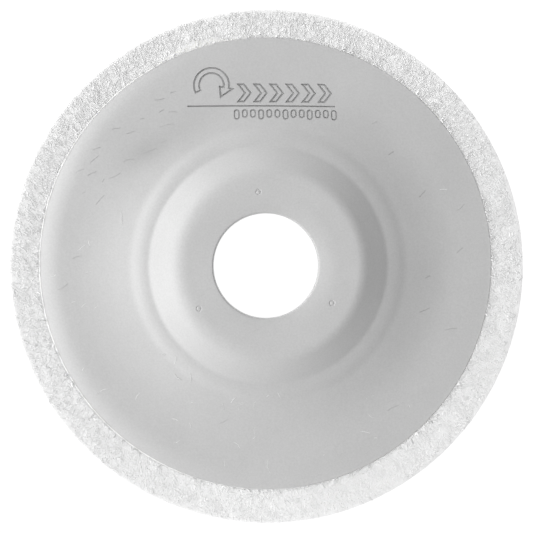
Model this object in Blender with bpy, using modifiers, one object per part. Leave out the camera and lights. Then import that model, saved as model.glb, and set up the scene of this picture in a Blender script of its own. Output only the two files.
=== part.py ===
"""Felt polishing wheel for an angle grinder: a moulded depressed-centre backing plate,
a layer of adhesive and a ring of pressed felt.

Blender 4.5 script. The wheel lies on its felt, with +Z along the spindle axis towards the
grinder and the origin on that axis at the felt's working face. Millimetres are turned into
metres where each mesh is made.
"""

from math import atan2, cos, log, pi, radians, sin, tan

import bmesh
import bpy

METRES_PER_MM = 0.001
TURN_STEPS = 72

# Driving dimensions, in millimetres.
WHEEL_RADIUS = 57.5
BORE_RADIUS = 22.23 / 2
PLATE_RADIUS = 50.5
FELT_THICKNESS = 8.0
FELT_HOLE_RADIUS = 26.5
HUB_WALL = 2.4
FLANGE_WALL = 2.0
GLUE_THICKNESS = 0.4
GAP = 0.3

# The slope of the plate's upper face: (radius in mm, degrees down towards the rim). It
# changes evenly between rows. The rows are the seat's edge, the hub's cone, the groove at
# its foot, the shoulder ring, the flare and the rim.
PLATE_SLOPES = (
    (16.4, 0.0),
    (21.2, 33.0),
    (25.5, 33.0),
    (26.2, 8.0),
    (29.3, 25.0),
    (30.8, 15.0),
    (33.5, 14.0),
    (37.7, 9.0),
    (42.5, 3.0),
    (45.2, 3.5),
    (50.1, 14.0),
)
LEVEL_RADIUS = PLATE_SLOPES[-2][0]
CURVE_STEP = 2.2

# The plate's rim.
RIM_SHOULDER_HEIGHT = 0.5
RIM_ROUND = PLATE_RADIUS - PLATE_SLOPES[-1][0]
LIP_WIDTH = 1.0
LIP_DEPTH = 0.5
LIP_FILLET = 0.25

# The recess for the clamping nut, under the hub.
NUT_SEAT_RADIUS = 20.4
RECESS_CORNER = 0.4
RECESS_MOUTH_RADIUS = 24.7
RECESS_LIP_RADIUS = 25.4
BORE_CHAMFER = 0.35

# Three moulding gates, each a vestige in a dimple so that the flange still seats flat.
GATE_COUNT = 3
GATE_CIRCLE_RADIUS = 16.0
GATE_FIRST_ANGLE = radians(92.6)
DIMPLE_RADIUS = 0.65
DIMPLE_FLOOR_RADIUS = 0.4
DIMPLE_DEPTH = 0.25
DIMPLE_SIDES = 12

# The felt follows the plate, so its working face is hollowed towards the hole.
WORKING_FLAT_RADIUS = 40.0
WORKING_HOLLOW = 1.9
FELT_EDGE_ROUND = 0.5
FELT_STEP_RADIUS = PLATE_RADIUS + GAP

GLUE_INNER_RADIUS = 28.0
GLUE_OUTER_RADIUS = PLATE_RADIUS - LIP_WIDTH - GAP


def height_lost(inner, outer):
    """The drop between two (radius, slope) rows, the slope changing evenly between them."""
    (r0, a0), (r1, a1) = inner, outer
    a0, a1 = radians(a0), radians(a1)
    if abs(a1 - a0) < 1e-9:
        return (r1 - r0) * tan(a0)
    return (log(cos(a0)) - log(cos(a1))) * (r1 - r0) / (a1 - a0)


def slope_at(radius):
    """The upper face's slope in degrees, level inside the first row."""
    if radius <= PLATE_SLOPES[0][0]:
        return PLATE_SLOPES[0][1]
    for (r0, a0), (r1, a1) in zip(PLATE_SLOPES, PLATE_SLOPES[1:]):
        if radius <= r1:
            return a0 + (a1 - a0) * (radius - r0) / (r1 - r0)
    return PLATE_SLOPES[-1][1]


def plate_top(radius):
    """The height of the plate's upper face at a radius, above the working face."""
    height = FELT_THICKNESS + RIM_SHOULDER_HEIGHT
    for inner, outer in zip(PLATE_SLOPES, PLATE_SLOPES[1:]):
        start = max(radius, inner[0])
        if start < outer[0]:
            height += height_lost((start, slope_at(start)), outer)
    return height


HUB_TOP = plate_top(BORE_RADIUS)
NUT_SEAT = HUB_TOP - HUB_WALL
RIM_UNDERSIDE = plate_top(LEVEL_RADIUS) - FLANGE_WALL
LIP_BOTTOM = RIM_UNDERSIDE - LIP_DEPTH


def plate_underside(radius):
    """The height of the bonding face, which follows the flare and is level near the rim."""
    return max(plate_top(radius) - FLANGE_WALL, RIM_UNDERSIDE)


def glue_top(radius):
    return plate_underside(radius) - GAP


def felt_back(radius):
    """The height of the felt's back under the plate."""
    return glue_top(radius) - GLUE_THICKNESS - GAP


def felt_front(radius):
    """The height of the working face, a shallow cone inside its flat outer band."""
    share = (WORKING_FLAT_RADIUS - radius) / (WORKING_FLAT_RADIUS - FELT_HOLE_RADIUS)
    return WORKING_HOLLOW * max(0.0, share)


def arc(centre, radius, start_deg, end_deg, pieces):
    """Points along an arc in the profile's plane, its angles measured from outwards to up."""
    angles = [radians(start_deg + (end_deg - start_deg) * i / pieces) for i in range(pieces + 1)]
    return [(centre[0] + radius * cos(a), centre[1] + radius * sin(a)) for a in angles]


def along(height_at, start, end, step=CURVE_STEP, breaks=()):
    """Points on a face between two radii, with one at each break and no gap over step."""
    low, high = min(start, end), max(start, end)
    stops = sorted({low, high, *[b for b in breaks if low < b < high]})
    radii = [low]
    for r0, r1 in zip(stops, stops[1:]):
        count = max(1, round((r1 - r0) / step))
        radii += [r0 + (r1 - r0) * (i + 1) / count for i in range(count)]
    points = [(r, height_at(r)) for r in radii]
    return points if start < end else points[::-1]


SLOPE_BREAKS = [row[0] for row in PLATE_SLOPES]


def plate_profile():
    """The plate's section: out along its upper face, round the rim and back underneath."""
    rim_slope = PLATE_SLOPES[-1][1]
    rim_top = plate_top(PLATE_SLOPES[-1][0])
    lip_inner = PLATE_RADIUS - LIP_WIDTH
    return [
        (BORE_RADIUS, HUB_TOP - BORE_CHAMFER),
        (BORE_RADIUS + BORE_CHAMFER, HUB_TOP),
        *along(plate_top, PLATE_SLOPES[0][0], PLATE_SLOPES[-1][0], breaks=SLOPE_BREAKS),
        *arc((PLATE_RADIUS - RIM_ROUND, rim_top - RIM_ROUND), RIM_ROUND, 90 - rim_slope, 0, 3),
        (PLATE_RADIUS, LIP_BOTTOM),
        (lip_inner, LIP_BOTTOM),
        (lip_inner, RIM_UNDERSIDE - LIP_FILLET),
        *along(plate_underside, lip_inner - LIP_FILLET, RECESS_LIP_RADIUS, breaks=SLOPE_BREAKS),
        (RECESS_MOUTH_RADIUS, plate_underside(RECESS_LIP_RADIUS) + RECESS_CORNER),
        (NUT_SEAT_RADIUS + RECESS_CORNER, NUT_SEAT - RECESS_CORNER),
        (NUT_SEAT_RADIUS, NUT_SEAT),
        (BORE_RADIUS + BORE_CHAMFER, NUT_SEAT),
        (BORE_RADIUS, NUT_SEAT + BORE_CHAMFER),
    ]


def glue_profile():
    """The adhesive's section, an even layer under the bonding face."""
    upper = along(glue_top, GLUE_INNER_RADIUS, GLUE_OUTER_RADIUS, 4.0, SLOPE_BREAKS)
    return upper + [(r, z - GLUE_THICKNESS) for r, z in reversed(upper)]


def felt_profile():
    """The felt's section: its back is pressed down under the plate and stands free outside."""
    hole, rim, rounding = FELT_HOLE_RADIUS, WHEEL_RADIUS, FELT_EDGE_ROUND
    pressed_edge = FELT_STEP_RADIUS - GAP
    return [
        (hole, felt_back(hole) - rounding),
        *along(felt_back, hole + rounding, pressed_edge, 4.0, SLOPE_BREAKS),
        (FELT_STEP_RADIUS, FELT_THICKNESS),
        *arc((rim - rounding, FELT_THICKNESS - rounding), rounding, 90, 0, 3),
        *arc((rim - rounding, rounding), rounding, 0, -90, 3),
        (WORKING_FLAT_RADIUS, 0.0),
        (hole + rounding, felt_front(hole)),
        (hole, felt_front(hole) + rounding),
    ]


def collection(name):
    made = bpy.data.collections.new(name)
    bpy.context.scene.collection.children.link(made)
    return made


def plain_material(name, colour, roughness):
    material = bpy.data.materials.new(name)
    material.use_nodes = True
    shader = material.node_tree.nodes["Principled BSDF"]
    shader.inputs["Base Color"].default_value = (*colour, 1.0)
    shader.inputs["Roughness"].default_value = roughness
    shader.inputs["Metallic"].default_value = 0.0
    return material


def frozen(obj):
    """Replaces the object's mesh by its evaluated one, with round faces shaded smooth."""
    graph = bpy.context.evaluated_depsgraph_get()
    mesh = bpy.data.meshes.new_from_object(obj.evaluated_get(graph))
    mesh.name = obj.name
    obj.modifiers.clear()
    obj.data = mesh
    mesh.shade_smooth()
    mesh.set_sharp_from_angle(angle=radians(20))
    return obj


def turned(name, profile, where):
    """A closed section in millimetres, turned about Z by a Screw modifier."""
    mesh = bpy.data.meshes.new(name)
    shape = bmesh.new()
    corners = [shape.verts.new((r * METRES_PER_MM, 0.0, z * METRES_PER_MM)) for r, z in profile]
    for i, corner in enumerate(corners):
        shape.edges.new((corner, corners[(i + 1) % len(corners)]))
    shape.to_mesh(mesh)
    shape.free()
    obj = bpy.data.objects.new(name, mesh)
    where.objects.link(obj)
    screw = obj.modifiers.new("turn", "SCREW")
    screw.axis = "Z"
    screw.steps = screw.render_steps = TURN_STEPS
    screw.use_merge_vertices = True
    screw.merge_threshold = 0.00001
    return obj


def dimple_cutter(name, angle, where):
    """A short cone that sinks one gate's dimple into the hub's seat."""
    reach = DIMPLE_DEPTH
    half_angle = atan2(DIMPLE_RADIUS - DIMPLE_FLOOR_RADIUS, DIMPLE_DEPTH)
    top_radius = DIMPLE_RADIUS + reach * tan(half_angle)
    shape = bmesh.new()
    bmesh.ops.create_cone(
        shape,
        cap_ends=True,
        segments=DIMPLE_SIDES,
        radius1=DIMPLE_FLOOR_RADIUS * METRES_PER_MM,
        radius2=top_radius * METRES_PER_MM,
        depth=(DIMPLE_DEPTH + reach) * METRES_PER_MM,
    )
    mesh = bpy.data.meshes.new(name)
    shape.to_mesh(mesh)
    shape.free()
    cutter = bpy.data.objects.new(name, mesh)
    cutter.location = (
        GATE_CIRCLE_RADIUS * cos(angle) * METRES_PER_MM,
        GATE_CIRCLE_RADIUS * sin(angle) * METRES_PER_MM,
        HUB_TOP * METRES_PER_MM,
    )
    cutter.rotation_euler.z = angle
    cutter.hide_render = True
    cutter.display_type = "WIRE"
    where.objects.link(cutter)
    return cutter


def backing_plate(where, cutters):
    plate = turned("backing_plate", plate_profile(), where)
    plate.data.materials.append(plain_material("plate_plastic", (0.52, 0.52, 0.52), 0.35))
    for i in range(GATE_COUNT):
        angle = GATE_FIRST_ANGLE + 2 * pi * i / GATE_COUNT
        cut = plate.modifiers.new(f"gate_{i + 1}", "BOOLEAN")
        cut.operation = "DIFFERENCE"
        cut.object = dimple_cutter(f"gate_dimple_{i + 1}", angle, cutters)
    return frozen(plate)


def adhesive_layer(where):
    layer = turned("adhesive_layer", glue_profile(), where)
    layer.data.materials.append(plain_material("dried_adhesive", (0.72, 0.70, 0.62), 0.3))
    return frozen(layer)


def felt_ring(where):
    ring = turned("felt_ring", felt_profile(), where)
    ring.data.materials.append(plain_material("pressed_felt", (0.78, 0.78, 0.77), 0.95))
    return frozen(ring)


def main():
    for obj in list(bpy.data.objects):
        bpy.data.objects.remove(obj)
    wheel = collection("felt_polishing_wheel")
    cutters = collection("cutters")
    backing_plate(wheel, cutters)
    adhesive_layer(wheel)
    felt_ring(wheel)


main()
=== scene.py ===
"""The looks of the felt polishing wheel: a semi-gloss moulded plate, a bead of squeezed-out
adhesive and a ring of matted white felt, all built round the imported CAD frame.

Lengths are in millimetres until a mesh is made, and the frame's own axes are used throughout:
+Z is the spindle axis, and the wheel lies on its working face at z = 0.
"""

from math import cos, log, pi, radians, sin, tan

import bmesh
import bpy
import numpy as np
from mathutils import Matrix, Vector, noise

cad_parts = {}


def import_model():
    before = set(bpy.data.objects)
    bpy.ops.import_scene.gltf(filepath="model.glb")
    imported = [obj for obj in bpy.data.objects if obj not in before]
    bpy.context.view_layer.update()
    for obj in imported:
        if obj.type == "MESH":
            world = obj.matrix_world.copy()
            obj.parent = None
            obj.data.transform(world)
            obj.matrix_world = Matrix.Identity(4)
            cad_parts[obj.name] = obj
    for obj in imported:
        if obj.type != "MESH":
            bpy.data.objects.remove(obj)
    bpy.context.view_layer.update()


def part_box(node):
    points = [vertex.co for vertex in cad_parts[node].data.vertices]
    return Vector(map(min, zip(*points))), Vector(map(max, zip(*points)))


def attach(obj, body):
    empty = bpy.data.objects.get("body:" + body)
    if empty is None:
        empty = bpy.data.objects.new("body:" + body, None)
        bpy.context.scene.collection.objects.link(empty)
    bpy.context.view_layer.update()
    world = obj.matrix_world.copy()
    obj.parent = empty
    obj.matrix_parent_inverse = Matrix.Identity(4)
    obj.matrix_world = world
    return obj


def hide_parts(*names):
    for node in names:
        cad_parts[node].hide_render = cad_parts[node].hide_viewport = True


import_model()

METRES_PER_MM = 0.001


def millimetres(node):
    """A CAD node's lowest and highest corners, in millimetres."""
    low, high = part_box(node)
    return np.array(low) / METRES_PER_MM, np.array(high) / METRES_PER_MM


PLATE_LOW, PLATE_HIGH = millimetres("backing_plate")
FELT_HIGH = millimetres("felt_ring")[1]

# Driving dimensions, repeated from the CAD or read from the frame.
PLATE_RADIUS = PLATE_HIGH[0]
WHEEL_RADIUS = FELT_HIGH[0]
HUB_TOP = PLATE_HIGH[2]
LIP_BOTTOM = PLATE_LOW[2]
BORE_RADIUS = 22.23 / 2
FELT_THICKNESS = 8.0
FELT_HOLE_RADIUS = 26.5
HUB_WALL = 2.4
FLANGE_WALL = 2.0
GLUE_THICKNESS = 0.4
GLUE_INNER_RADIUS = 28.0
GAP = 0.3
WORKING_FLAT_RADIUS = 40.0
WORKING_HOLLOW = 1.9

# The small rounds of the plate's section, its lip and the mouth of its nut recess.
BORE_ROUND = 0.3
LIP_ROUND = 0.15
LIP_FILLET = 0.25
LIP_WIDTH = 1.0
RECESS_FILLET = 0.7
RECESS_MOUTH_RADIUS = 24.7
NUT_SEAT_RADIUS = 20.4

# The slope of the plate's upper face, as the CAD has it: (radius, degrees down outwards).
PLATE_SLOPES = (
    (16.4, 0.0),
    (21.2, 33.0),
    (25.5, 33.0),
    (26.2, 8.0),
    (29.3, 25.0),
    (30.8, 15.0),
    (33.5, 14.0),
    (37.7, 9.0),
    (42.5, 3.0),
    (45.2, 3.5),
    (50.1, 14.0),
)

# The moulding is pulled down by the bond on one side: its rim's slope goes from one to the
# other round the wheel.
RIM_SLOPE_PRESSED = 24.0
RIM_SLOPE_FREE = 3.5
PRESSED_SIDE = radians(185)

# The hub's shoulder isn't the same all round: towards +X it bends later and falls steeper.
SHARP_SHOULDER = ((19.3, 0.0), (21.4, 40.0), (25.5, 40.0))

# The ring of the groove and shoulder is moulded a little off the bore's centre, and so is the rim.
RING_OFFSET = 0.6
RIM_OFFSET = 0.2

# The felt was laid slightly off the plate's centre.
FELT_OFFSET = (0.42, -0.77)


# Sections and surfaces of revolution


def eased(share):
    """A share from 0 to 1, made to start and stop gently."""
    share = np.clip(share, 0, 1)
    return share * share * (3 - 2 * share)


def height_lost(inner, outer):
    """The drop between two (radius, slope) rows, the slope changing evenly between them."""
    (r0, a0), (r1, a1) = inner, outer
    a0, a1 = radians(a0), radians(a1)
    if abs(a1 - a0) < 1e-9:
        return (r1 - r0) * tan(a0)
    return (log(cos(a0)) - log(cos(a1))) * (r1 - r0) / (a1 - a0)


def slope_at(radius, slopes=PLATE_SLOPES):
    """The slope in degrees at a radius, level inside the first row."""
    if radius <= slopes[0][0]:
        return slopes[0][1]
    for (r0, a0), (r1, a1) in zip(slopes, slopes[1:]):
        if radius <= r1:
            return a0 + (a1 - a0) * (radius - r0) / (r1 - r0)
    return slopes[-1][1]


def plate_top(radius, slopes=PLATE_SLOPES):
    """The height of the plate's upper face at a radius, counted down from the hub's seat."""
    height = HUB_TOP
    for inner, outer in zip(slopes, slopes[1:]):
        end = min(radius, outer[0])
        if end > inner[0]:
            height -= height_lost(inner, (end, slope_at(end, slopes)))
    return height


LEVEL_RADIUS = PLATE_SLOPES[-2][0]
RIM_UNDERSIDE = plate_top(LEVEL_RADIUS) - FLANGE_WALL


def plate_underside(radius):
    """The height of the bonding face, which follows the flare and is level near the rim."""
    return max(plate_top(radius) - FLANGE_WALL, RIM_UNDERSIDE)


def felt_back(radius):
    """The height of the felt's back under the plate, below the adhesive and its two gaps."""
    return plate_underside(radius) - (GLUE_THICKNESS + 2 * GAP)


def felt_front(radius):
    """The height of the working face, a shallow cone inside its flat outer band."""
    share = (WORKING_FLAT_RADIUS - radius) / (WORKING_FLAT_RADIUS - FELT_HOLE_RADIUS)
    return WORKING_HOLLOW * max(0.0, share)


def arc(centre, radius, start_deg, end_deg, pieces):
    """Points along an arc, its angles measured from outwards to up."""
    angles = np.radians(np.linspace(start_deg, end_deg, pieces + 1))
    return [(centre[0] + radius * cos(a), centre[1] + radius * sin(a)) for a in angles]


def along(height_at, start, end, step):
    """Points on a face between two radii, a step apart."""
    count = max(1, round(abs(end - start) / step))
    return [(r, height_at(r)) for r in np.linspace(start, end, count + 1)]


def refined_line(start, end, step):
    """Points on a straight line, about a step apart."""
    count = max(1, round(np.hypot(end[0] - start[0], end[1] - start[1]) / step))
    return [tuple(p) for p in np.linspace(start, end, count + 1)]


def refined(profile, step):
    """The closed section with its long runs split, so that no edge is longer than step."""
    fine = []
    for (r0, z0), (r1, z1) in zip(profile, profile[1:] + profile[:1]):
        count = max(1, int(np.ceil(np.hypot(r1 - r0, z1 - z0) / step)))
        share = np.arange(count) / count
        fine += list(zip(r0 + (r1 - r0) * share, z0 + (z1 - z0) * share))
    return fine


def lathe(profile, turns):
    """Points (turns x section points x 3) and quads of a closed section turned about Z."""
    section = np.array(profile)
    angles = np.linspace(0, 2 * pi, turns, endpoint=False)
    points = np.empty((turns, len(section), 3))
    points[:, :, 0] = np.cos(angles)[:, None] * section[None, :, 0]
    points[:, :, 1] = np.sin(angles)[:, None] * section[None, :, 0]
    points[:, :, 2] = section[None, :, 1]
    at = np.arange(turns * len(section)).reshape(turns, len(section))
    turned, along_section = np.roll(at, -1, axis=0), np.roll(at, -1, axis=1)
    both = np.roll(turned, -1, axis=1)
    quads = np.stack([at, along_section, both, turned], axis=-1).reshape(-1, 4)
    return points.reshape(-1, 3), quads


def mesh_object(name, points, faces, sharp_deg=40.0):
    """An object from points in millimetres, with smooth faces and sharp edges past an angle."""
    mesh = bpy.data.meshes.new(name)
    mesh.from_pydata((np.asarray(points) * METRES_PER_MM).tolist(), [], np.asarray(faces).tolist())
    mesh.shade_smooth()
    mesh.set_sharp_from_angle(angle=radians(sharp_deg))
    obj = bpy.data.objects.new(name, mesh)
    bpy.context.scene.collection.objects.link(obj)
    return obj


# The plate

PLATE_TURNS = 400

# The dip of the seat beside the bore.
DISH_WIDTH = 4.2
DISH_DEPTH = 0.45

# The direction mark. GROOVE is half the width of its outlines; the scale hangs under the rule.
GROOVE = 0.22
GROOVE_DEPTH = 0.48
FINE = 0.8
ARROW_CENTRE = (-11.9, 39.7)
ARROW_RADIUS = 3.3
ARROW_WIDTH = 1.15
ARROW_TURN = (205, -10)
CHEVRONS = 6
CHEVRON_START = -6.0
CHEVRON_PITCH = 3.55
CHEVRON_LOW, CHEVRON_HIGH = 36.0, 39.9
CHEVRON_STROKE = 1.25
CHEVRON_REACH = 1.5
RULE_START, RULE_END = (-17.2, 35.0), (15.4, 35.0)
DASHES = 13
DASH_START = -6.3
DASH_PITCH = 1.78
DASH_TOP = 34.1
DASH_LONG, DASH_SHORT = 2.1, 1.7
DASH_WIDTH = 1.0

# The hair scratches: their number and sizes, the middle and spread of their slant, and the
# share of them on the side that is handled most.
SCRATCH_COUNT = 34
SCRATCH_DEPTH = 0.09
SCRATCH_LENGTHS = (0.8, 3.2)
SCRATCH_HALF_WIDTHS = (0.05, 0.10)
SCRATCH_RADII = (33, 46)
SCRATCH_SLANT = (radians(25), radians(14))
HANDLED_SHARE = 0.7
HANDLED_SIDE = (radians(100), radians(160))
ALL_ROUND = (0, 2 * pi)

# Where the three gates were broken off: (radius, degrees).
GATES = ((15.6, 95.8), (16.7, 212.5), (16.0, 330.6))


def side_share(x, y):
    """1 on the side where the bond pulls the rim down, 0 on the far side, smooth between."""
    off = np.cos(np.arctan2(y, x) - PRESSED_SIDE)
    return eased((off + 0.25) / 0.9)


def rim_shift(x, y):
    """How far the plate's rim stands off the CAD's, from its own slope on this side."""
    radius = np.hypot(x, y)
    reach = PLATE_SLOPES[-1][0] - LEVEL_RADIUS
    run = np.clip(radius - LEVEL_RADIUS, 0, None)
    own = RIM_SLOPE_FREE + (RIM_SLOPE_PRESSED - RIM_SLOPE_FREE) * side_share(x, y)
    start, cad = np.radians(PLATE_SLOPES[-2][1]), np.radians(PLATE_SLOPES[-1][1])

    def drop(last):
        turn = (last - start) / reach
        turn = np.where(np.abs(turn) < 1e-9, 1e-9, turn)
        return (np.log(np.cos(start)) - np.log(np.cos(start + turn * run))) / turn

    return drop(cad) - drop(np.radians(own))


def plate_profile():
    """The plate's section at the fine step, with small rounds where a mould leaves them."""
    outer, outer_slope = PLATE_SLOPES[-1]
    rim_round = PLATE_RADIUS - outer
    lip_inner = PLATE_RADIUS - LIP_WIDTH
    seat = HUB_TOP - HUB_WALL
    bore = BORE_RADIUS + BORE_ROUND
    mouth, nut = RECESS_MOUTH_RADIUS, NUT_SEAT_RADIUS
    return (
        arc((bore, HUB_TOP - BORE_ROUND), BORE_ROUND, 180, 100, 3)
        + along(plate_top, bore, outer, 0.4)
        + arc((outer, plate_top(outer) - rim_round), rim_round, 90 - outer_slope, 0, 5)
        + arc((PLATE_RADIUS - LIP_ROUND, LIP_BOTTOM + LIP_ROUND), LIP_ROUND, 0, -90, 2)
        + arc((lip_inner + LIP_ROUND, LIP_BOTTOM + LIP_ROUND), LIP_ROUND, -90, -180, 2)
        + [(lip_inner, RIM_UNDERSIDE - LIP_FILLET)]
        + along(plate_underside, lip_inner - LIP_FILLET, mouth + 0.9, 0.8)
        + arc((mouth + 0.6, plate_underside(mouth + 0.6) + 0.3), 0.3, -60, -150, 3)
        + refined_line((mouth, plate_underside(mouth + 0.7) + 0.4), (nut + 0.6, seat - 0.75), 0.6)
        + arc((nut - 0.3, seat - RECESS_FILLET), RECESS_FILLET, 30, 90, 4)
        + refined_line((nut - 0.8, seat), (BORE_RADIUS + 0.6, seat), 0.8)
        + arc((bore, seat + BORE_ROUND), BORE_ROUND, -90, -180, 3)
        + refined_line((BORE_RADIUS, seat + 0.6), (BORE_RADIUS, HUB_TOP - 0.6), 0.6)
    )


def towards_x(x, y):
    """1 towards +X, 0 towards -X, smooth between."""
    return eased(0.5 + 0.5 * np.cos(np.arctan2(y, x)))


def bore_dish(x, y):
    """The seat sinks a little towards the bore, on one side."""
    near = np.clip(1 - (np.hypot(x, y) - BORE_RADIUS) / DISH_WIDTH, 0, 1)
    return DISH_DEPTH * towards_x(x, y) * near * near


def sharper_shoulder(radius):
    """How much higher the upper face is where the hub's shoulder is sharp."""
    start, end = SHARP_SHOULDER[0][0], SHARP_SHOULDER[-1][0]
    missing = plate_top(end, SHARP_SHOULDER) - plate_top(end)
    share = min(max((radius - start) / (end - start), 0), 1)
    inside = min(radius, end)
    return plate_top(inside, SHARP_SHOULDER) - plate_top(inside) - missing * share


def between(x, low, high):
    """0 below low, 1 above high, smooth between."""
    return eased((x - low) / (high - low))


def sideways(x, y):
    """How far the moulding is off centre along X, from the bore out to the rim."""
    radius = np.hypot(x, y)
    ring = RING_OFFSET * between(radius, 17, 24) * (1 - between(radius, 31, 42))
    rim = RIM_OFFSET * between(radius, 42, 50) * np.clip(x / PLATE_RADIUS, 0, 1) ** 2
    return ring + rim


def channel(path, half_width, depth, closed=True):
    """A cutter for a groove of even depth along a path on the plate: (points, triangles)."""
    line = np.array(path, dtype=float)
    after, before = np.roll(line, -1, axis=0) - line, line - np.roll(line, 1, axis=0)
    if not closed:
        after[-1], before[0] = before[-1], after[0]
    unit_after = after / np.linalg.norm(after, axis=1, keepdims=True)
    unit_before = before / np.linalg.norm(before, axis=1, keepdims=True)
    normal = np.stack([-unit_after[:, 1], unit_after[:, 0]], axis=1)
    other = np.stack([-unit_before[:, 1], unit_before[:, 0]], axis=1)
    mitre = (normal + other) / (1 + (normal * other).sum(axis=1, keepdims=True)).clip(0.4)
    rings = []
    for share, down in ((-1.1, None), (1.1, None), (0.75, depth), (-0.75, depth)):
        xy = line + mitre * half_width * share
        top = np.array([plate_top(np.hypot(*p)) for p in xy])
        z = top + 0.4 if down is None else top - down
        rings.append(np.column_stack([xy, z]))
    points = np.stack(rings, axis=1).reshape(-1, 3)
    faces = []
    count = len(line)
    for i in range(count if closed else count - 1):
        a, b = 4 * i, 4 * ((i + 1) % count)
        for k in range(4):
            n = (k + 1) % 4
            faces += [(a + k, a + n, b + n), (a + k, b + n, b + k)]
    if not closed:
        last = 4 * (count - 1)
        faces += [(0, 2, 1), (0, 3, 2), (last, last + 1, last + 2), (last, last + 2, last + 3)]
    return points, faces


def outline(corners, step=0.7):
    """The corners of a closed outline with points added between them."""
    path = []
    for start, end in zip(corners, corners[1:] + corners[:1]):
        path += refined_line(start, end, step)[:-1]
    return path


def turning_arrow(centre, radius, width, start_deg, end_deg):
    """The outline of a curved arrow that turns clockwise from one angle to the other."""
    outer = arc(centre, radius + width / 2, start_deg, end_deg, 22)
    inner = arc(centre, radius - width / 2, end_deg, start_deg, 18)
    tip = arc(centre, radius, end_deg - 42, end_deg - 42, 1)[0]
    barb_out = arc(centre, radius + width * 1.25, end_deg, end_deg, 1)[0]
    barb_in = arc(centre, radius - width * 1.25, end_deg, end_deg, 1)[0]
    head = refined_line(barb_out, tip, 0.7) + refined_line(tip, barb_in, 0.7)[1:]
    return outer + head + inner


def chevron(x, low, high, stroke, reach):
    """The outline of a chevron that points along +X."""
    middle = (low + high) / 2
    return outline(
        [
            (x, high),
            (x + stroke, high),
            (x + stroke + reach, middle),
            (x + stroke, low),
            (x, low),
            (x + reach, middle),
        ]
    )


def rounded_dash(x, low, high, width):
    """The outline of an upright dash with round ends."""
    r = width / 2
    return arc((x, high - r), r, 180, 0, 6) + arc((x, low + r), r, 0, -180, 6)


def marking():
    """Cutters for a generic direction mark: a turning arrow, chevrons, a rule and a scale."""
    arrow = turning_arrow(ARROW_CENTRE, ARROW_RADIUS, ARROW_WIDTH, *ARROW_TURN)
    cuts = [channel(arrow, GROOVE, GROOVE_DEPTH)]
    for i in range(CHEVRONS):
        x = CHEVRON_START + CHEVRON_PITCH * i
        path = chevron(x, CHEVRON_LOW, CHEVRON_HIGH, CHEVRON_STROKE, CHEVRON_REACH)
        cuts.append(channel(path, GROOVE, GROOVE_DEPTH))
    rule = refined_line(RULE_START, RULE_END, 1.0)
    cuts.append(channel(rule, FINE * GROOVE, GROOVE_DEPTH, closed=False))
    for i in range(DASHES):
        height = DASH_LONG if i % 3 == 0 else DASH_SHORT
        x = DASH_START + DASH_PITCH * i
        dash = rounded_dash(x, DASH_TOP - height, DASH_TOP, DASH_WIDTH)
        cuts.append(channel(dash, FINE * GROOVE, FINE * GROOVE_DEPTH))
    return cuts


def scratches(random):
    """Cutters for the hair scratches that handling leaves, none crossing another."""
    made = []
    cuts = []
    while len(cuts) < SCRATCH_COUNT:
        handled = random.random() < HANDLED_SHARE
        turn = random.uniform(*(HANDLED_SIDE if handled else ALL_ROUND))
        away = random.uniform(*SCRATCH_RADII)
        place = np.array((away * cos(turn), away * sin(turn)))
        angle = random.normal(*SCRATCH_SLANT)
        length = random.uniform(*SCRATCH_LENGTHS)
        bend = random.uniform(-0.08, 0.08) * length
        half_width = random.uniform(*SCRATCH_HALF_WIDTHS)
        on_marking = abs(place[0]) < 20 and place[1] > 30
        crosses = any(np.hypot(*(place - p)) < 0.6 * (length + other) for p, other in made)
        if on_marking or crosses:
            continue
        run, across = np.array((cos(angle), sin(angle))), np.array((-sin(angle), cos(angle)))
        path = [
            place + run * length * t + across * bend * (1 - 4 * t * t)
            for t in np.linspace(-0.5, 0.5, 5)
        ]
        made.append((place, length))
        cuts.append(channel(path, half_width, SCRATCH_DEPTH, closed=False))
    return cuts


def gate_mark(x, y, floor_height):
    """A cutter for a moulding gate's mark: a shallow round dimple with a nub left in it."""
    section = [
        (0.0, 0.8), (0.7, 0.8), (0.7, 0.0), (0.6, -0.1), (0.45, -0.12), (0.3, -0.02), (0.0, 0.0)
    ]
    points, quads = lathe(section, 28)
    points += (x, y, floor_height)
    return points, [face for quad in quads.tolist() for face in (quad[:3], quad[2:] + quad[:1])]


def gates():
    """Cutters for the gate marks in the hub's seat."""
    return [
        gate_mark(away * cos(radians(turn)), away * sin(radians(turn)), HUB_TOP)
        for away, turn in GATES
    ]


def cut(obj, cuts):
    """Cuts closed shapes out of an object, all at once."""
    points, faces = [], []
    for more_points, more_faces in cuts:
        faces += [[index + len(points) for index in face] for face in more_faces]
        points += more_points.tolist()
    cutter = mesh_object("cutter", points, faces)
    shape = bmesh.new()
    shape.from_mesh(cutter.data)
    bmesh.ops.remove_doubles(shape, verts=shape.verts, dist=1e-8)
    bmesh.ops.dissolve_degenerate(shape, edges=shape.edges, dist=1e-8)
    bmesh.ops.recalc_face_normals(shape, faces=shape.faces)
    shape.to_mesh(cutter.data)
    shape.free()
    boolean = obj.modifiers.new("cut", "BOOLEAN")
    boolean.operation = "DIFFERENCE"
    boolean.solver = "EXACT"
    boolean.object = cutter
    seen = bpy.context.evaluated_depsgraph_get()
    whole = obj.data
    obj.data = bpy.data.meshes.new_from_object(obj.evaluated_get(seen))
    obj.modifiers.clear()
    bpy.data.objects.remove(cutter)
    bpy.data.meshes.remove(whole)
    obj.data.set_sharp_from_angle(angle=radians(40))


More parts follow.
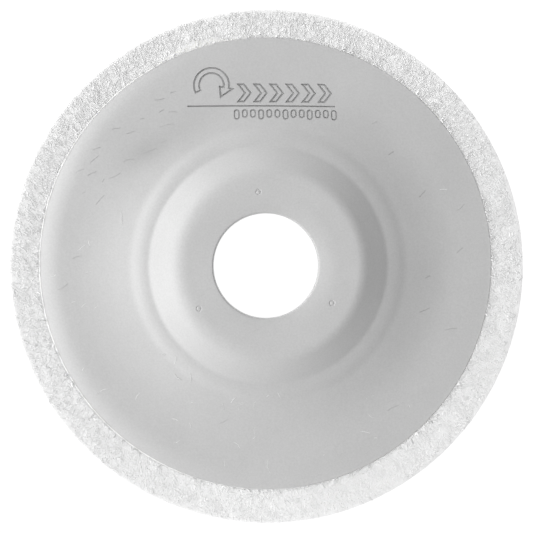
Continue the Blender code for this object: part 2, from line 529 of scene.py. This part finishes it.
def backing_plate():
    """The moulded plate, bent and shifted as the real one is, with its mark and scratches."""
    section = plate_profile()
    points, quads = lathe(section, PLATE_TURNS)
    x, y, z = points.T
    upper = [abs(height - plate_top(r)) < 0.01 and r > BORE_RADIUS + 0.2 for r, height in section]
    raised = [sharper_shoulder(r) * on_top for (r, height), on_top in zip(section, upper)]
    z += np.tile(raised, PLATE_TURNS) * towards_x(x, y)
    z += rim_shift(x, y) * (z > RIM_UNDERSIDE + 0.3)
    z -= bore_dish(x, y) * (z > HUB_TOP - 0.8) * (np.hypot(x, y) < BORE_RADIUS + DISH_WIDTH)
    x += sideways(x, y)
    plate = mesh_object("moulded_plate", points, quads)
    cut(plate, marking() + gates() + scratches(np.random.default_rng(3)))
    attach(plate, "root")
    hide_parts("backing_plate")
    return plate


# The felt

FELT_TURNS = 620
FELT_STEP = 0.5

# How far the felt stands below the edge of the plate's rim, beside it.
FELT_BELOW_EDGE = 0.25

# How the felt is matted: (width in mm, height in mm) of each scale of lumps.
MATTING = ((3.0, 0.09), (1.0, 0.05))

# Where along its half length, and with how many sides, a fibre is given its thickness.
FIBRE_RINGS = np.array((-0.55, 0.05, 0.6))
FIBRE_SIDES = 3

# The fallen fibres on the plate: their number, how far out they lie, and the middle and
# spread of the side they lie on.
LINT_COUNT = 60
LINT_RADII = (28, 47)
LINT_SIDE = (radians(272), radians(62))


def felt_profile(step):
    """The felt's section: pressed under the plate, free and gently rounded outside it."""
    hole, rim = FELT_HOLE_RADIUS, WHEEL_RADIUS
    section = (
        along(felt_back, hole + 0.5, PLATE_RADIUS - 0.5, 1.0)
        + [(PLATE_RADIUS + 0.02, FELT_THICKNESS - 1.0)]
        + arc((PLATE_RADIUS + 0.24, FELT_THICKNESS - 0.2), 0.2, 180, 90, 2)
        + arc((rim - 0.14, FELT_THICKNESS - 0.14), 0.14, 90, 0, 3)
        + arc((rim - 0.5, 0.5), 0.5, 0, -90, 4)
        + [(WORKING_FLAT_RADIUS, 0.0)]
        + arc((hole + 0.6, felt_front(hole) + 0.6), 0.6, -90, -180, 4)
        + arc((hole + 0.6, felt_back(hole) - 0.6), 0.6, 180, 110, 3)
    )
    return refined(section, step)


def felt_lift(x, y):
    """The felt's free rim stands up to meet the plate's rim where that is high, or sinks."""
    radius = np.hypot(x, y)
    outer = PLATE_SLOPES[-1][0]
    edge_height = plate_top(outer) + rim_shift(outer * x / radius, outer * y / radius)
    lift = edge_height - FELT_BELOW_EDGE - FELT_THICKNESS
    reach = np.where(lift > 0, 16, 4)
    return lift * np.clip(1 - (radius - PLATE_RADIUS) / reach, 0, 1)


def rough(points, size, seed):
    """One smooth random value in -1..1 for each point, varying over size millimetres."""
    away = Vector((seed * 17.3, seed * 5.1, seed * 9.7))
    return np.array([noise.noise(Vector(p) / size + away) for p in points.tolist()])


def outward(points, quads):
    """Unit normals at the points of a mesh of quads."""
    corners = points[quads]
    faces = np.cross(corners[:, 2] - corners[:, 0], corners[:, 3] - corners[:, 1])
    normals = np.zeros_like(points)
    for i in range(4):
        np.add.at(normals, quads[:, i], faces)
    return normals / np.linalg.norm(normals, axis=1, keepdims=True)


def felt_surface():
    """The felt's points and quads: pressed under the plate, free outside it, matted all over."""
    points, quads = lathe(felt_profile(FELT_STEP), FELT_TURNS)
    radius = np.hypot(points[:, 0], points[:, 1])
    half = FELT_THICKNESS / 2
    share = np.clip((points[:, 2] - half) / half, 0, 1) * (radius > PLATE_RADIUS)
    points[:, 2] += felt_lift(points[:, 0], points[:, 1]) * share
    under_plate = (radius < PLATE_RADIUS) & (points[:, 2] > 5)
    free = np.where(under_plate, 0, np.clip((radius - PLATE_RADIUS) / 4, 0, 1))
    points[:, 0] += FELT_OFFSET[0] * free
    points[:, 1] += FELT_OFFSET[1] * free
    normals = outward(points, quads)
    matted = sum(height * rough(points, size, i) for i, (size, height) in enumerate(MATTING))
    flat = (points[:, 2] < 0.3) | (radius > WHEEL_RADIUS - 0.5)
    matted = np.where(flat, 0.2 * matted, matted) * ~under_plate
    points += normals * matted[:, None]
    points[:, 2] = np.maximum(points[:, 2], 0.0)
    return points, quads


def felt_ring(points, quads):
    """The felt itself, a firm solid."""
    felt = mesh_object("felt_body", points, quads, 180)
    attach(felt, "root")
    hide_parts("felt_ring")
    return felt


def grown(points, quads, chosen, count, random):
    """Random places on the chosen quads, spread by area: (places, normals)."""
    quads = quads[chosen(points[quads].mean(axis=1))]
    corners = points[quads]
    faces = np.cross(corners[:, 2] - corners[:, 0], corners[:, 3] - corners[:, 1])
    area = np.linalg.norm(faces, axis=1)
    pick = random.choice(len(quads), count, p=area / area.sum())
    u, v = random.random((2, count, 1))
    c = corners[pick]
    places = (c[:, 0] * (1 - u) + c[:, 1] * u) * (1 - v) + (c[:, 3] * (1 - u) + c[:, 2] * u) * v
    return places, faces[pick] / area[pick, None]


def tucked_in(points):
    """Folds whatever stands out past the felt's side down along it."""
    across = points[:, :2] - FELT_OFFSET
    radius = np.linalg.norm(across, axis=1)
    past = np.clip(radius - WHEEL_RADIUS - 0.02, 0, None)
    points[:, :2] -= across / radius[:, None] * 0.95 * past[:, None]
    points[:, 2] -= 0.95 * past * np.sign(points[:, 2] - 3)
    return points


def strands(name, places, normals, lengths, radii, curl, sink, rise, stray, random):
    """Short curved fibres lying on a surface, each one a closed tapered tube.

    They run out from the wheel's axis, or along it on the side, give or take stray radians.
    """
    count = len(places)
    angle = random.normal(0, stray, count)
    flat = np.abs(normals[:, 2:]) > 0.5
    first = np.where(flat, places * (1.0, 1.0, 0.0), (0.0, 0.0, 1.0))
    first -= (first * normals).sum(axis=1, keepdims=True) * normals
    first /= np.linalg.norm(first, axis=1, keepdims=True)
    second = np.cross(normals, first)
    run = np.cos(angle)[:, None] * first + np.sin(angle)[:, None] * second
    side = np.cross(normals, run)
    bend = random.uniform(-curl, curl, count) * lengths
    lift = random.uniform(0, rise, count)
    tilt = random.uniform(-rise, rise, count) * 0.5

    def spine(t):
        along_run = (t * lengths / 2)[:, None] * run
        aside = (bend * (t * t - 0.33))[:, None] * side
        height = lift - 0.4 * radii - (sink + lift) * t * t + tilt * t
        return places + along_run + aside + height[:, None] * normals

    tips = [spine(np.full(count, -1.0)), spine(np.full(count, 1.0))]
    points = [tips[0]]
    for t in FIBRE_RINGS:
        centre = spine(np.full(count, t))
        girth = radii * (1 - 0.45 * t * t)
        for k in range(FIBRE_SIDES):
            turn = 2 * pi * k / FIBRE_SIDES
            points.append(centre + girth[:, None] * (cos(turn) * side + sin(turn) * normals))
    points.append(tips[1])
    each = len(points)
    points = tucked_in(np.stack(points, axis=1).reshape(-1, 3))
    last = each - 1
    corners = []
    for k in range(FIBRE_SIDES):
        n = (k + 1) % FIBRE_SIDES
        corners.append((0, 1 + n, 1 + k))
        for ring in range(len(FIBRE_RINGS) - 1):
            a, b = 1 + ring * FIBRE_SIDES, 1 + (ring + 1) * FIBRE_SIDES
            corners.append((a + k, a + n, b + n))
            corners.append((a + k, b + n, b + k))
        end = 1 + (len(FIBRE_RINGS) - 1) * FIBRE_SIDES
        corners.append((end + k, end + n, last))
    starts = (np.arange(count) * each)[:, None, None]
    faces = (np.array(corners)[None] + starts).reshape(-1, 3)
    obj = mesh_object(name, points, faces, 180)
    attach(obj, "root")
    return obj


def felt_fibres(points, quads):
    """The coats of fibres on the felt, each one a piece."""
    random = np.random.default_rng(7)
    coats = []
    for name, chosen, count, length, thickness, rise, stray in FIBRE_COATS:
        places, normals = grown(points, quads, chosen, count, random)
        lengths = random.lognormal(log(length), 0.4, count).clip(0.6, 1.5 * length)
        radii = thickness * random.uniform(0.6, 1.3, count)
        shape = (lengths, radii, 0.3, thickness, rise, stray)
        coats.append(strands(name, places, normals, *shape, random))
    return coats


def from_middle(places):
    """How far places are from the middle of the felt's outline."""
    return np.hypot(places[:, 0] - FELT_OFFSET[0], places[:, 1] - FELT_OFFSET[1])


# Where each coat grows: which places on the felt's surface are on its back, outside the
# plate, on its side and on its working face, all clear of its edges.


def on_the_back(places):
    high = places[:, 2] > FELT_THICKNESS - 0.5
    outside_plate = np.hypot(places[:, 0], places[:, 1]) > PLATE_RADIUS - 0.1
    return high & outside_plate & (from_middle(places) < WHEEL_RADIUS - 0.4)


def on_the_side(places):
    clear_of_edges = np.abs(places[:, 2] - FELT_THICKNESS / 2) < FELT_THICKNESS / 2 - 1.5
    return clear_of_edges & (from_middle(places) > WHEEL_RADIUS - 1)


def on_the_working_face(places):
    low = places[:, 2] < WORKING_HOLLOW + 0.3
    return low & (from_middle(places) < WHEEL_RADIUS - 0.8)


# The coats of fibres: (name, where, count, length, half thickness and rise in mm, and how
# far they stray from one direction in radians).
FIBRE_COATS = (
    ("felt_locks_back", on_the_back, 4600, 2.2, 0.165, 0.04, 0.6),
    ("felt_fibres_back", on_the_back, 8000, 1.8, 0.070, 0.06, 0.9),
    ("felt_fibres_side", on_the_side, 9500, 1.9, 0.045, 0.02, 3.0),
    ("felt_fibres_working_face", on_the_working_face, 10000, 2.2, 0.055, 0.08, 3.0),
)


def lint():
    """Wool fibres that have fallen on the plate and cling to it."""
    random = np.random.default_rng(11)
    away = random.uniform(*LINT_RADII, LINT_COUNT)
    turn = random.normal(*LINT_SIDE, LINT_COUNT)
    height = np.array([plate_top(r) for r in away])
    x, y = away * np.cos(turn), away * np.sin(turn)
    places = np.column_stack([x, y, height + rim_shift(x, y) + 0.01])
    tilt = np.radians([slope_at(r) for r in away])
    normals = np.column_stack([x / away * np.sin(tilt), y / away * np.sin(tilt), np.cos(tilt)])
    lengths = random.lognormal(log(1.9), 0.6, LINT_COUNT).clip(0.5, 5.0)
    radii = random.uniform(0.035, 0.07, LINT_COUNT)
    return strands("lint", places, normals, lengths, radii, 0.25, 0.05, 0.02, 1.0, random)


# The adhesive

BEAD_TURNS = 720


def bead_width(turn):
    """How far the squeezed-out adhesive reaches past the plate's edge, round the wheel."""
    def hump(middle, spread):
        off = np.abs(np.angle(np.exp(1j * (turn - radians(middle)))))
        return eased(1 - off / radians(spread))

    return 0.12 + 0.45 * hump(50, 40) + 1.5 * hump(106, 15)


def adhesive_bead():
    """The bead that the press squeezed out, from the plate's rim down onto the felt."""
    outer = PLATE_SLOPES[-1][0]
    rim_round = PLATE_RADIUS - outer
    turn = np.linspace(0, 2 * pi, BEAD_TURNS, endpoint=False)
    x, y = outer * np.cos(turn), outer * np.sin(turn)
    spots = np.column_stack([x, y, 0 * x])
    width = bead_width(turn) * (1 + 0.5 * rough(spots, 3.0, 31) + 0.3 * rough(spots, 0.9, 32))
    edge = plate_top(outer) + rim_shift(x, y)
    felt = FELT_THICKNESS + felt_lift(1.01 * x, 1.01 * y)
    up = np.radians(30 + 35 * side_share(x, y))
    start_r = outer + rim_round * np.cos(up) + 0.01
    start_z = edge - rim_round + rim_round * np.sin(up) + 0.02
    end = PLATE_RADIUS + width
    rows = (
        (start_r - 0.05, start_z - 0.25),
        (start_r, start_z),
        (start_r * 0.6 + end * 0.4, start_z * 0.62 + felt * 0.38 + 0.01),
        (start_r * 0.25 + end * 0.75, start_z * 0.25 + felt * 0.75 + 0.02),
        (end, felt + 0.02),
        (end + 0.12, felt - 0.25),
        (PLATE_RADIUS - 0.04 + 0 * end, felt - 0.6),
    )
    lines = [np.column_stack([r * np.cos(turn), r * np.sin(turn), z]) for r, z in rows]
    points = np.stack(lines, axis=1)
    quads = lathe([(1, 0)] * len(rows), BEAD_TURNS)[1]
    bead = mesh_object("adhesive_bead", points.reshape(-1, 3), quads)
    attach(bead, "root")
    return bead


def adhesive():
    """The even layer of adhesive between the plate and the felt."""
    def top(radius):
        return felt_back(radius) + GAP + GLUE_THICKNESS

    section = along(top, GLUE_INNER_RADIUS, PLATE_RADIUS - LIP_WIDTH - GAP, 1.0)
    section += [(r, z - GLUE_THICKNESS) for r, z in reversed(section)]
    points, quads = lathe(section, PLATE_TURNS)
    glue = mesh_object("adhesive_film", points, quads)
    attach(glue, "root")
    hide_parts("adhesive_layer")
    return glue


# Materials

PAINTED_REFLECTION_SLANT = radians(27)

# Darker ovals painted into the plate's colour, a painted dark reflection: (x and y, half length
# and half width, share).
PAINTED_REFLECTIONS = (
    ((-26.5, 25.0), (15.0, 6.0), 0.14),
    ((-16.0, 32.0), (26.0, 12.0), 0.08),
)

PLASTIC_COLOUR = (0.495, 0.495, 0.495)
FELT_COLOUR = (0.895, 0.895, 0.895)
FIBRE_COLOUR = (0.96, 0.96, 0.96)
GLUE_COLOUR = (0.78, 0.78, 0.77)


def principled(name, colour, roughness):
    """A new material, its nodes and its shader."""
    material = bpy.data.materials.new(name)
    material.use_nodes = True
    shader = material.node_tree.nodes["Principled BSDF"]
    shader.inputs["Base Color"].default_value = (*colour, 1.0)
    shader.inputs["Roughness"].default_value = roughness
    return material, material.node_tree, shader


def texture(tree, size, detail=2.0, stretch=(1, 1, 1), turn=0.0, seed=0.0):
    """Noise whose lumps are size millimetres wide, stretched along the object's axes."""
    place = tree.nodes.new("ShaderNodeTexCoord")
    mapping = tree.nodes.new("ShaderNodeMapping")
    mapping.vector_type = "TEXTURE"
    mapping.inputs["Rotation"].default_value = (0, 0, turn)
    mapping.inputs["Scale"].default_value = stretch
    mapping.inputs["Location"].default_value = (seed, seed, seed)
    lumps = tree.nodes.new("ShaderNodeTexNoise")
    lumps.inputs["Scale"].default_value = 1000 / size
    lumps.inputs["Detail"].default_value = detail
    tree.links.new(place.outputs["Object"], mapping.inputs["Vector"])
    tree.links.new(mapping.outputs["Vector"], lumps.inputs["Vector"])
    return lumps.outputs[0]


def spread(tree, value, start, end, low, high):
    """A value's range from start to end, turned into low to high."""
    ramp = tree.nodes.new("ShaderNodeMapRange")
    ramp.inputs["From Min"].default_value = start
    ramp.inputs["From Max"].default_value = end
    ramp.inputs["To Min"].default_value = low
    ramp.inputs["To Max"].default_value = high
    tree.links.new(value, ramp.inputs["Value"])
    return ramp.outputs["Result"]


def combined(tree, operation, *values):
    """Changing values multiplied or added together."""
    total = values[0]
    for value in values[1:]:
        node = tree.nodes.new("ShaderNodeMath")
        node.operation = operation
        tree.links.new(total, node.inputs[0])
        tree.links.new(value, node.inputs[1])
        total = node.outputs[0]
    return total


def tinted(tree, shader, colour, amount):
    """The colour multiplied by a changing amount."""
    scale = tree.nodes.new("ShaderNodeVectorMath")
    scale.operation = "SCALE"
    scale.inputs[0].default_value = colour
    tree.links.new(amount, scale.inputs["Scale"])
    tree.links.new(scale.outputs["Vector"], shader.inputs["Base Color"])


def bumped(tree, shader, height, depth_mm):
    """Shades the surface as if it stood up by a changing height."""
    bump = tree.nodes.new("ShaderNodeBump")
    bump.inputs["Strength"].default_value = 1.0
    bump.inputs["Distance"].default_value = depth_mm * METRES_PER_MM
    tree.links.new(height, bump.inputs["Height"])
    tree.links.new(bump.outputs["Normal"], shader.inputs["Normal"])


def painted_reflection(tree, place, size, darkness):
    """A factor that darkens an oval of the surface, slanting up towards +X, with soft edges: a
    painted dark reflection.
    """
    where = tree.nodes.new("ShaderNodeTexCoord")
    oval = tree.nodes.new("ShaderNodeMapping")
    oval.vector_type = "TEXTURE"
    oval.inputs["Location"].default_value = [p * METRES_PER_MM for p in (*place, HUB_TOP / 2)]
    oval.inputs["Rotation"].default_value = (0, 0, PAINTED_REFLECTION_SLANT)
    oval.inputs["Scale"].default_value = [s * METRES_PER_MM for s in (*size, 50)]
    fade = tree.nodes.new("ShaderNodeTexGradient")
    fade.gradient_type = "QUADRATIC_SPHERE"
    tree.links.new(where.outputs["Object"], oval.inputs["Vector"])
    tree.links.new(oval.outputs["Vector"], fade.inputs["Vector"])
    return spread(tree, fade.outputs[1], 0.0, 0.8, 1.0, 1 - darkness)


def plastic():
    """Semi-gloss grey moulding: cloudy, finely grained, wiped and lightly scuffed, with a dark
    reflection painted into its colour.
    """
    material, tree, shader = principled("moulded_plastic", PLASTIC_COLOUR, 0.36)
    shader.inputs["Specular IOR Level"].default_value = 0.65
    clouds = spread(tree, texture(tree, 14, 3.0), 0.3, 0.7, 0.975, 1.025)
    grain = spread(tree, texture(tree, 0.4, 1.0, seed=0.0031), 0.25, 0.75, 0.95, 1.05)
    hairs = texture(tree, 0.24, 1.0, (14.0, 1.0, 1.0), radians(24), 0.0077)
    marks = spread(tree, hairs, 0.7, 0.78, 1.0, 0.93)
    # Painted dark reflection: these ovals darken the colour where a dark reflection lies, not
    # where there is dirt.
    painted_reflections = [painted_reflection(tree, *row) for row in PAINTED_REFLECTIONS]
    shade = combined(tree, "MULTIPLY", clouds, grain, marks, *painted_reflections)
    tinted(tree, shader, PLASTIC_COLOUR, shade)
    wiped = texture(tree, 6.0, 4.0, (2.5, 1.0, 1.0), radians(35), 0.0017)
    tree.links.new(spread(tree, wiped, 0.1, 0.9, 0.27, 0.41), shader.inputs["Roughness"])
    waves = texture(tree, 2.4, 1.0, seed=0.005)
    pores = spread(tree, texture(tree, 0.3, 1.0, seed=0.009), 0.0, 1.0, 0.0, 0.09)
    bumped(tree, shader, combined(tree, "ADD", waves, pores), 0.035)
    return material


def wool(name, colour, clump, soft):
    """Matted wool: lighter and darker clumps of a size, and a share of light that sinks in."""
    material, tree, shader = principled(name, colour, 0.92)
    shader.inputs["Specular IOR Level"].default_value = 0.25
    shader.inputs["Subsurface Weight"].default_value = soft
    shader.inputs["Subsurface Radius"].default_value = (1.0, 1.0, 1.0)
    shader.inputs["Subsurface Scale"].default_value = 0.6 * METRES_PER_MM
    clumps = spread(tree, texture(tree, clump, 3.0), 0.3, 0.7, 0.94, 1.0)
    grain = spread(tree, texture(tree, 0.22, 2.0, seed=0.002), 0.3, 0.7, 0.96, 1.0)
    tinted(tree, shader, colour, combined(tree, "MULTIPLY", clumps, grain))
    bumped(tree, shader, texture(tree, 0.3, 3.0, seed=0.004), 0.06)
    return material


def dried_glue():
    """Pale dried adhesive: smooth, faintly rippled and slightly translucent."""
    material, tree, shader = principled("dried_adhesive", GLUE_COLOUR, 0.6)
    shader.inputs["Subsurface Weight"].default_value = 0.4
    shader.inputs["Subsurface Radius"].default_value = (1.0, 1.0, 0.9)
    shader.inputs["Subsurface Scale"].default_value = 0.5 * METRES_PER_MM
    tinted(tree, shader, GLUE_COLOUR, spread(tree, texture(tree, 2.0, 3.0), 0.3, 0.7, 0.93, 1.04))
    ripples = texture(tree, 0.9, 2.0, seed=0.006)
    tree.links.new(spread(tree, ripples, 0.3, 0.7, 0.5, 0.7), shader.inputs["Roughness"])
    bumped(tree, shader, ripples, 0.06)
    return material


# The stage

FLOOR_BELOW = 0.1
FLOOR_GLOW = 0.98


def floor():
    """A lit white sweep under the wheel's fibres, clear when it is seen from below."""
    mesh = bpy.data.meshes.new("floor")
    grid = bmesh.new()
    bmesh.ops.create_grid(grid, x_segments=1, y_segments=1, size=3.0)
    grid.to_mesh(mesh)
    grid.free()
    obj = bpy.data.objects.new("floor", mesh)
    obj.location.z = -FLOOR_BELOW * METRES_PER_MM
    bpy.context.scene.collection.objects.link(obj)
    material, tree, shader = principled("white_sweep", (0.10, 0.10, 0.10), 1.0)
    shader.inputs["Specular IOR Level"].default_value = 0.0
    shader.inputs["Emission Color"].default_value = (1, 1, 1, 1)
    shader.inputs["Emission Strength"].default_value = FLOOR_GLOW
    clear = tree.nodes.new("ShaderNodeBsdfTransparent")
    side = tree.nodes.new("ShaderNodeNewGeometry")
    mix = tree.nodes.new("ShaderNodeMixShader")
    tree.links.new(side.outputs["Backfacing"], mix.inputs[0])
    tree.links.new(shader.outputs[0], mix.inputs[1])
    tree.links.new(clear.outputs[0], mix.inputs[2])
    tree.links.new(mix.outputs[0], tree.nodes["Material Output"].inputs["Surface"])
    mesh.materials.append(material)


# The light, by direction: a room that fades away from one side, a wide soft bank low on that
# side, a little more overhead and a darker corner of the ceiling. Each row is (towards, from,
# to, radiance, easing): the radiance comes in as the cosine with the direction goes between
# the next two. ROOM comes from everywhere.
BANK_SIDE = radians(178)
TOWARDS_BANK = (cos(BANK_SIDE), sin(BANK_SIDE), 0.0)
TOWARDS_CORNER = (-0.36, 0.44, 0.82)
ROOM = 0.12
LIGHTS = (
    (TOWARDS_BANK, -1.0, 0.2, 1.02, "LINEAR"),
    (TOWARDS_BANK, 0.49, 0.80, 1.88, "SMOOTHSTEP"),
    ((0.0, 0.0, 1.0), 0.89, 1.0, 0.14, "SMOOTHSTEP"),
    (TOWARDS_CORNER, 0.94, 0.985, -0.8, "SMOOTHSTEP"),
)


def world():
    """The room's light, added up from its directions."""
    sky = bpy.data.worlds.new("studio")
    bpy.context.scene.world = sky
    sky.use_nodes = True
    tree = sky.node_tree
    tree.nodes.clear()
    out = tree.nodes.new("ShaderNodeOutputWorld")
    background = tree.nodes.new("ShaderNodeBackground")
    background.inputs["Color"].default_value = (1, 1, 1, 1)
    direction = tree.nodes.new("ShaderNodeTexCoord").outputs["Generated"]
    total = None
    for towards, start, end, radiance, easing in LIGHTS:
        cosine = tree.nodes.new("ShaderNodeVectorMath")
        cosine.operation = "DOT_PRODUCT"
        cosine.inputs[1].default_value = towards
        ramp = tree.nodes.new("ShaderNodeMapRange")
        ramp.interpolation_type = easing
        ramp.inputs["From Min"].default_value = start
        ramp.inputs["From Max"].default_value = end
        ramp.inputs["To Max"].default_value = radiance
        add = tree.nodes.new("ShaderNodeMath")
        add.inputs[0].default_value = ROOM
        tree.links.new(direction, cosine.inputs[0])
        tree.links.new(cosine.outputs["Value"], ramp.inputs["Value"])
        tree.links.new(ramp.outputs["Result"], add.inputs[1])
        if total:
            tree.links.new(total, add.inputs[0])
        total = add.outputs[0]
    tree.links.new(total, background.inputs["Strength"])
    tree.links.new(background.outputs[0], out.inputs["Surface"])


# The camera stands over the wheel, leaning a little to one side.
CAMERA_DISTANCE = 0.150
CAMERA_LEAN = (-0.0146, 0.0205)
FRAMED_WIDTH = 0.11950
AIM = (0.25, -0.32, 8.0)


def camera():
    """The camera, looking down past the hub with +Y up."""
    data = bpy.data.cameras.new("camera")
    data.sensor_width = 36.0
    data.lens = data.sensor_width * CAMERA_DISTANCE / FRAMED_WIDTH
    data.clip_start = 0.01
    obj = bpy.data.objects.new("camera", data)
    aim = Vector(AIM) * METRES_PER_MM
    obj.location = aim + CAMERA_DISTANCE * Vector((*CAMERA_LEAN, 1.0))
    back = (obj.location - aim).normalized()
    right = Vector((0, 1, 0)).cross(back).normalized()
    up = back.cross(right)
    obj.rotation_euler = Matrix((right, up, back)).transposed().to_euler()
    bpy.context.scene.collection.objects.link(obj)
    bpy.context.scene.camera = obj


def main():
    """Builds the wheel and its coats, gives them their materials and sets the stage."""
    bpy.context.scene.view_settings.view_transform = "Standard"
    camera()
    world()
    floor()
    plate = backing_plate()
    points, quads = felt_surface()
    felt = felt_ring(points, quads)
    coats = felt_fibres(points, quads) + [lint()]
    glue = adhesive()
    bead = adhesive_bead()
    plate.data.materials.append(plastic())
    felt.data.materials.append(wool("pressed_wool", FELT_COLOUR, 2.0, 0.5))
    loose = wool("loose_wool", FIBRE_COLOUR, 4.0, 0.0)
    for coat in coats:
        coat.data.materials.append(loose)
    glued = dried_glue()
    glue.data.materials.append(glued)
    bead.data.materials.append(glued)


main()
